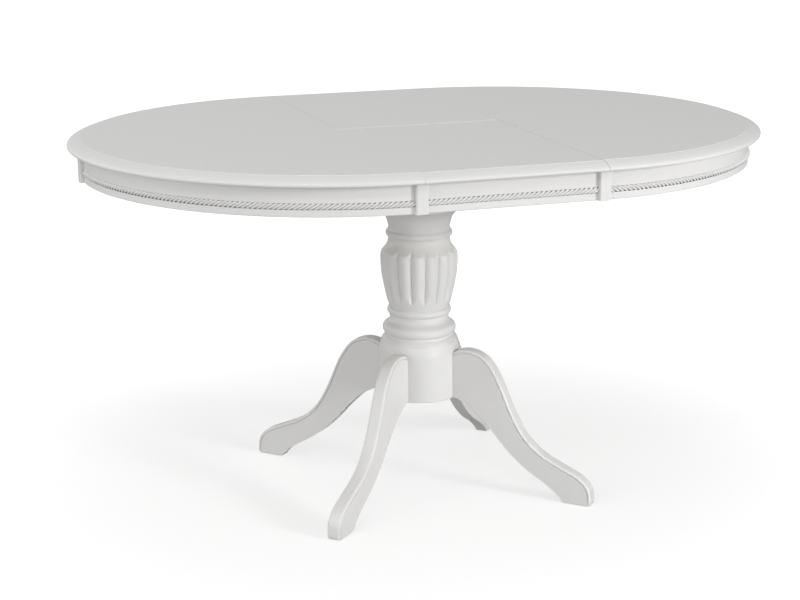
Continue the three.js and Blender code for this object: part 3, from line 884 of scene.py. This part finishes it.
@dataclass
class Column:
    """The turned column with a reeded vase between beads.

    reed_turn is where round the column the first reed lies, as a share of a reed. The reeds run
    out over fade_low and fade_high, shares of their height, past reed_low and before reed_high.
    """

    reeds: int = 16
    steps_per_reed: int = 14
    reed_depth: float = 0.0064
    reed_swell: float = 0.72
    reed_low: float = 0.399
    reed_high: float = 0.5035
    reed_turn: float = 6 / 14
    reed_margin: float = 0.02
    fade_low: Pair = (-0.02, 0.14)
    fade_high: Pair = (0.90, 1.03)

    def outline(self) -> list[Pair]:
        """The turned profile as (radius, height), from the foot to the neck."""
        mm = [
            *arc((82, 194), (2, 2), -90, 0, 5), (84, 236), (84, 287),
            *curve_through([(84, 289), (83.4, 295), (81.4, 303.5), (79.8, 310.4)], 4),
            (78.4, 311.0), (77.9, 313.4),
            *curve_through([(77.3, 313.9), (75.4, 316.4), (73.2, 318.4)], 3), (71.9, 318.8),
            (71.9, 322.6), (70.9, 323.4),
            *curve_through([
                (71.0, 324.2), (73.6, 327.2), (75.6, 331.4), (76.3, 336.4), (75.2, 341.0),
                (72.4, 344.8), (68.2, 347.8), (64.2, 350.6), (61.4, 354.0), (60.2, 357.6)], 4),
            (60.2, 359.6), (61.8, 360.4), (61.8, 364.2), (60.9, 365.4),
            *arc((60.9, 373.4), (5.7, 7.4), -78, 80, 10), (62.2, 381.6), (62.4, 384.0),
            *curve_through([
                (63.9, 387.0), (65.3, 391.5), (67.8, 399), (71.3, 414), (75.0, 431), (78.0, 449),
                (79.7, 467), (80.2, 482), (79.9, 491), (78.6, 497.5), (76.0, 501.5), (71.9, 506),
                (68.0, 511.5), (65.2, 518), (64.0, 524.5)], 5),
            (64.0, 527.5), (64.6, 529.8),
            *arc((64.9, 536.9), (4.1, 6.1), -72, 78, 10), (65.2, 543.6),
            *curve_through([(64.6, 545.2), (63.6, 548), (63.6, 552), (64.8, 557), (66.8, 564),
                            (70.2, 573), (77.4, 582), (88, 589.5)], 4),
            (91.0, 591.0), (91.0, 594.5), *arc((91.5, 598.5), (3.5, 4.0), -90, 0, 5),
        ]
        return [(r * MM, z * MM) for r, z in mm]

    def reed(self, turn: float, height: float) -> float:
        """How deep the surface is cut at a point on the vase.

        Args:
            turn: The point's angle in radians.
            height: Its height.

        Returns:
            The depth in metres.
        """
        phase = (turn * self.reeds / (2 * math.pi) + self.reed_turn) % 1.0
        across = abs(2 * phase - 1)
        span = self.reed_high - self.reed_low
        along = (height - self.reed_low) / span
        rise = (along - self.fade_low[0]) / (self.fade_low[1] - self.fade_low[0])
        fall = (self.fade_high[1] - along) / (self.fade_high[1] - self.fade_high[0])
        width = math.sqrt(min(1.0, max(0.0, rise)) * min(1.0, max(0.0, fall)))
        if width <= 0:
            return 0.0
        edge = max(0.0, 1 - (1 - across) / width)
        round_off = 1 - math.sqrt(1 - (self.reed_swell * edge) ** 2)
        return self.reed_depth * width * round_off / (1 - math.sqrt(1 - self.reed_swell ** 2))

    def turn(self) -> None:
        """Spins the profile and cuts the reeds."""
        low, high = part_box("column")
        outline = [(0.0, low[2]), *self.outline(), (high[0], high[2]), (0.0, high[2])]
        bm = bmesh.new()
        chain = wire(bm, [Vector((r, 0.0, z)) for r, z in outline], False)
        bmesh.ops.spin(bm, geom=chain, cent=(0, 0, 0), axis=UP, angle=2 * math.pi,
                       steps=self.reeds * self.steps_per_reed, use_merge=True, use_duplicate=False)
        fill_open(bm)
        for vert in bm.verts:
            if self.reed_low - self.reed_margin < vert.co.z < self.reed_high + self.reed_margin:
                reach = vert.co.xy.length
                cut = self.reed(math.atan2(vert.co.y, vert.co.x), vert.co.z)
                vert.co.xy *= (reach - cut) / reach
        bmesh.ops.recalc_face_normals(bm, faces=bm.faces)
        finished(bm, "column_turned", "pedestal", LACQUER, ["column"], sharp=27)


@dataclass
class Leg:
    """One sawn leg with a moulded upper edge, its outlines in millimetres.

    knee and hollow are the upper and lower outlines, as (reach, height). moulding and plain are
    the edge's sections, as (distance from the middle, depth). The upper edge is plain up to
    moulding_end from the column's axis and turns into the moulding over moulding_fade.
    """

    place: str
    knee: Sequence[Pair] = field(default_factory=lambda: (
        (391, 12), (390.2, 26), (386.5, 37.5), (378.5, 48.5), (366.5, 58), (349, 67), (325, 77),
        (298, 89), (270, 106), (246, 129), (228, 155), (212, 186), (198, 218), (186, 244),
        (172, 267), (156, 285), (138, 295), (122, 299), (108, 299), (95, 296.5), (84, 291),
        (72, 281), (60, 268)))
    hollow: Sequence[Pair] = field(default_factory=lambda: (
        (60, 195), (84, 193.5), (102, 188), (133, 170), (165, 140), (194, 108), (222, 81),
        (254, 57), (290, 36), (318, 16), (331, 2.5)))
    moulding: Sequence[Pair] = field(default_factory=lambda: (
        (8.8, 0.0), (10.8, 0.4), (12.5, 1.3), (13.6, 2.6), (14.0, 4.2), (13.7, 5.1), (12.3, 5.5),
        (11.9, 6.4), (12.3, 7.3), (13.7, 7.7), (14.0, 8.3)))
    plain: Sequence[Pair] = field(default_factory=lambda: (
        (8.8, 0.0), (9.6, 0.0), (10.4, 0.0), (11.2, 0.0), (12.0, 0.0), (12.6, 0.0), (13.0, 0.1),
        (13.3, 0.25), (13.6, 0.5), (13.9, 1.0), (14.0, 1.8)))
    toe_round: float = 5.0
    sole: float = 1.5
    sole_reach: Sequence[float] = (331.5, 350.0, 368.0)
    nose_steps: int = 6
    moulding_end: float = 74.0
    moulding_fade: float = 8.0

    def outline(self) -> list[tuple[Vector, float]]:
        """The side outline as (point, share of moulding), going round from the toe."""
        knee = curve_through(self.knee, 5)
        hollow = curve_through(self.hollow, 4)
        reach = self.knee[0][0]
        nose = (reach - self.toe_round, self.sole + self.toe_round)
        sole = [(place, self.sole) for place in self.sole_reach]
        round_nose = arc(nose, (self.toe_round, self.toe_round), -90, 0, self.nose_steps)
        shares = [(p[0] - self.moulding_end) / self.moulding_fade for p in knee]
        marked = [(Vector(p), min(1.0, max(0.0, share))) for p, share in zip(knee, shares)]
        marked += [(Vector(p), 0.0) for p in (*hollow, *sole)]
        marked += [(Vector(p), k / (self.nose_steps + 1)) for k, p in enumerate(round_nose)]
        return marked

    def build(self) -> None:
        """Extrudes the outline ring by ring through the moulding's steps, from face to face."""
        marked = self.outline()
        points = [p for p, _ in marked]
        count = len(points)
        inward = []
        for i, point in enumerate(points):
            along = points[(i + 1) % count] - points[i - 1]
            inward.append(Vector((-along.y, along.x)).normalized())
        rings = []
        steps = list(zip(self.moulding, self.plain))
        for side, row in ((-1, list(reversed(steps))), (1, steps)):
            for moulded, plain in row:
                rings.append([(
                    side * (moulded[0] * share + plain[0] * (1 - share)),
                    moulded[1] * share + plain[1] * (1 - share)) for _, share in marked])
        bm = bmesh.new()
        start = [self._at(points[i], inward[i], *rings[0][i]) for i in range(count)]
        chain = wire(bm, start, True)
        verts, edges = chain[:count], chain[count:]
        bmesh.ops.contextual_create(bm, geom=edges)
        for ring in rings[1:]:
            made = bmesh.ops.extrude_edge_only(bm, edges=edges)["geom"]
            fresh = [g for g in made if isinstance(g, bmesh.types.BMVert)]
            known = set(fresh)
            order = {v: next(e.other_vert(v) for e in v.link_edges if e.other_vert(v) not in known)
                     for v in fresh}
            index = {v: i for i, v in enumerate(verts)}
            placed = sorted(fresh, key=lambda v: index[order[v]])
            for i, vert in enumerate(placed):
                vert.co = self._at(points[i], inward[i], *ring[i])
            edges = [g for g in made if isinstance(g, bmesh.types.BMEdge)
                     and g.verts[0] in known and g.verts[1] in known]
            verts = placed
        fill_open(bm)
        turn = Matrix.Rotation(math.radians(LEG_TURNS[self.place]), 4, "Z")
        bmesh.ops.transform(bm, matrix=turn, verts=bm.verts)
        node = f"leg_{self.place}"
        finished(bm, f"{node}_sawn", "pedestal", LACQUER, [node], sharp=24)

    @staticmethod
    def _at(point: Vector, inward: Vector, across: float, depth: float) -> Vector:
        """A point on the leg, from its outline point, its step inwards and its place across."""
        moved = point + inward * depth
        return Vector((moved.x, across, moved.y)) * MM


@dataclass
class Glide:
    """A nailed nylon glide with a chamfered rim."""

    place: str
    rim: float = 0.0012

    def build(self) -> None:
        """Turns the glide."""
        node = f"glide_{self.place}"
        low, high = (Vector(c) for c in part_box(node))
        radius, centre = (high.x - low.x) / 2, (low + high) / 2
        bm = bmesh.new()
        section = [(0.0, 0.0), (radius - self.rim, 0.0), (radius, self.rim), (radius, high.z),
                   (0.0, high.z)]
        chain = wire(bm, [Vector((centre.x + r, centre.y, z)) for r, z in section], False)
        bmesh.ops.spin(bm, geom=chain, cent=centre, axis=UP, angle=2 * math.pi, steps=40,
                       use_merge=True, use_duplicate=False)
        fill_open(bm)
        finished(bm, f"{node}_pad", "pedestal", NYLON, [node])


@dataclass
class Pedestal:
    """The column, its legs and their glides."""

    def build(self) -> None:
        """Builds the pedestal's visible pieces."""
        Column().turn()
        for place in LEG_TURNS:
            Leg(place).build()
            Glide(place).build()


# ---- The works under the top ---------------------------------------------------------------


@dataclass
class Works:
    """The finishes of the slides, racks and fittings, by the first word found in a node's name."""

    finishes: tuple[tuple[str, Finish], ...] = (
        ("rack_block", BEECH), ("runner", BEECH), ("rail", BEECH), ("bearer", BEECH),
        ("plate_screw", ZINC), ("mounting_plate", PLYWOOD), ("bolt", ZINC), ("rack", ZINC),
        ("pinion", ZINC), ("latch", ZINC))

    def dress(self, nodes: dict[str, bpy.types.Object]) -> None:
        """Gives every node its finish, which is lacquer if no word is found in its name."""
        for name, node in nodes.items():
            finish = next((f for word, f in self.finishes if word in name), LACQUER)
            node.data.materials.clear()
            node.data.materials.append(finish.material())
            LOG.info("%s dressed in %s", name, finish.name)


# ---- Studio --------------------------------------------------------------------------------


@dataclass
class Studio:
    """The floor, the soft lights and the camera.

    The floor's painted glow, seen by the camera alone, rises from one value of glow to the other
    between the two distances of glow_reach, so the floor is painted darker near the table.
    """

    camera_place: tuple[float, float, float] = (-1.171, -3.303, 1.309)
    yaw: float = 18.87
    pitch: float = 14.68
    roll: float = -0.325
    lens: float = 78.26
    surround: float = 0.68
    lean: float = 0.38
    backdrop: float = 1.05
    floor_size: float = 14.0
    floor_grey: float = 0.5
    glow_reach: Pair = (0.5, 1.7)
    glow: Pair = (0.56, 0.80)

    def floor(self) -> None:
        """Lays a plain pale floor with a painted glow, dimmer near the table, that fades into the
        backdrop.
        """
        bm = bmesh.new()
        bmesh.ops.create_grid(bm, x_segments=2, y_segments=2, size=self.floor_size)
        mesh = bpy.data.meshes.new("studio_floor")
        bm.to_mesh(mesh)
        bm.free()
        finish = bpy.data.materials.new("studio_white")
        finish.use_nodes = True
        shader = finish.node_tree.nodes["Principled BSDF"]
        grey = self.floor_grey
        shader.inputs["Base Color"].default_value = (grey, grey, grey, 1.0)
        shader.inputs["Roughness"].default_value = 0.9
        shader.inputs["Specular IOR Level"].default_value = 0.0
        shader.inputs["Emission Color"].default_value = (1.0, 1.0, 1.0, 1.0)
        net = NodeTree(finish.node_tree)
        place = net.add("TexCoord").outputs["Object"]
        away = net.add("VectorMath", {0: place}, operation="LENGTH").outputs["Value"]
        near, far = self.glow_reach
        dim, bright = self.glow
        outer = net.add("MapRange", {"Value": away, "From Min": near, "From Max": far,
                                     "To Min": dim, "To Max": bright},
                        interpolation_type="SMOOTHSTEP").outputs["Result"]
        # Painted light: a glow that only the camera sees, weaker near the table.
        seen = net.add("LightPath").outputs["Is Camera Ray"]
        glow = net.maths("MULTIPLY", outer, seen)
        finish.node_tree.links.new(glow, shader.inputs["Emission Strength"])
        mesh.materials.append(finish)
        floor = bpy.data.objects.new("studio_floor", mesh)
        bpy.context.scene.collection.objects.link(floor)

    def light(self, name: str, place: tuple, aim: tuple, size: Pair, power: float,
              spread: float = 180.0) -> bpy.types.Object:
        """Hangs a soft rectangular light.

        Args:
            name: The lamp's name.
            place: Where it hangs.
            aim: The point it faces.
            size: Its width and height.
            power: Its power in watts.
            spread: How wide its beam opens, in degrees.

        Returns:
            The lamp.
        """
        data = bpy.data.lights.new(name, "AREA")
        data.shape = "RECTANGLE"
        data.size, data.size_y = size
        data.energy = power
        data.spread = math.radians(spread)
        lamp = bpy.data.objects.new(name, data)
        lamp.location = place
        lamp.rotation_euler = (Vector(aim) - Vector(place)).to_track_quat("-Z", "Y").to_euler()
        bpy.context.scene.collection.objects.link(lamp)
        return lamp

    def lights(self) -> None:
        """Sets the pale surround, brighter on the left, and the lamps with a key on the right.

        The key and the fill don't show in the gloss, and the smaller glint and streak do.
        """
        world = bpy.data.worlds.new("studio")
        world.use_nodes = True
        net = NodeTree(world.node_tree)
        seen = net.add("LightPath").outputs["Is Camera Ray"]
        ray = net.add("SeparateXYZ", {0: net.add("TexCoord").outputs["Generated"]})
        lean = net.maths("MULTIPLY_ADD", ray.outputs["X"], -self.lean, self.surround)
        strength = net.add("Mix", {0: seen, 2: lean, 3: self.backdrop}).outputs[0]
        back = world.node_tree.nodes["Background"]
        back.inputs["Color"].default_value = (1.0, 1.0, 1.0, 1.0)
        world.node_tree.links.new(strength, back.inputs["Strength"])
        bpy.context.scene.world = world
        key = self.light("key", (2.6, -3.3, 1.45), (0.0, 0.0, 0.5), (1.0, 1.0), 79.0)
        key.visible_glossy = False
        self.light("glint", (2.6, -3.3, 1.45), (0.0, 0.0, 0.5), (0.45, 0.45), 9.0)
        self.light("streak", (-1.4, -2.3, 2.9), (0.0, 0.0, 0.7), (0.5, 0.3), 7.0)
        fill = self.light("fill", (-3.4, -1.6, 1.1), (0.0, 0.0, 0.5), (1.6, 1.4), 18.0)
        fill.visible_glossy = False
        self.light("low", (0.9, -2.6, 0.30), (-0.05, -0.2, 0.12), (0.8, 0.4), 0.35, 26.0)

    def camera(self) -> None:
        """Sets the camera from its place and its yaw, pitch and roll in degrees."""
        yaw, pitch, roll = (math.radians(a) for a in (self.yaw, self.pitch, self.roll))
        ahead = Vector((math.sin(yaw) * math.cos(pitch), math.cos(yaw) * math.cos(pitch),
                        -math.sin(pitch)))
        right = Vector((math.cos(yaw), -math.sin(yaw), 0.0))
        above = right.cross(ahead)
        level = Matrix((right, above, -ahead)).transposed()
        turned = level @ Matrix.Rotation(roll, 3, "Z")
        data = bpy.data.cameras.new("camera")
        data.lens = self.lens
        data.sensor_width = 36.0
        camera = bpy.data.objects.new("camera", data)
        camera.matrix_world = Matrix.Translation(self.camera_place) @ turned.to_4x4()
        bpy.context.scene.collection.objects.link(camera)
        bpy.context.scene.camera = camera

    def build(self) -> None:
        """Sets up the studio."""
        self.floor()
        self.lights()
        self.camera()
        bpy.context.scene.view_settings.view_transform = "Standard"


def main() -> None:
    """Loads the frame, builds each sub-assembly around it and sets the studio."""
    logging.basicConfig(level=logging.INFO, format="%(name)s: %(message)s")
    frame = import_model()
    sizes = TopSizes.from_frame()
    LOG.info("top radius %.4f, height %.4f", sizes.radius, sizes.height)
    Works().dress(frame["nodes"])
    for half in Half:
        HalfTop(sizes, half).build()
    Leaf(sizes).build()
    Pedestal().build()
    Studio().build()


if __name__ == "__main__":
    main()
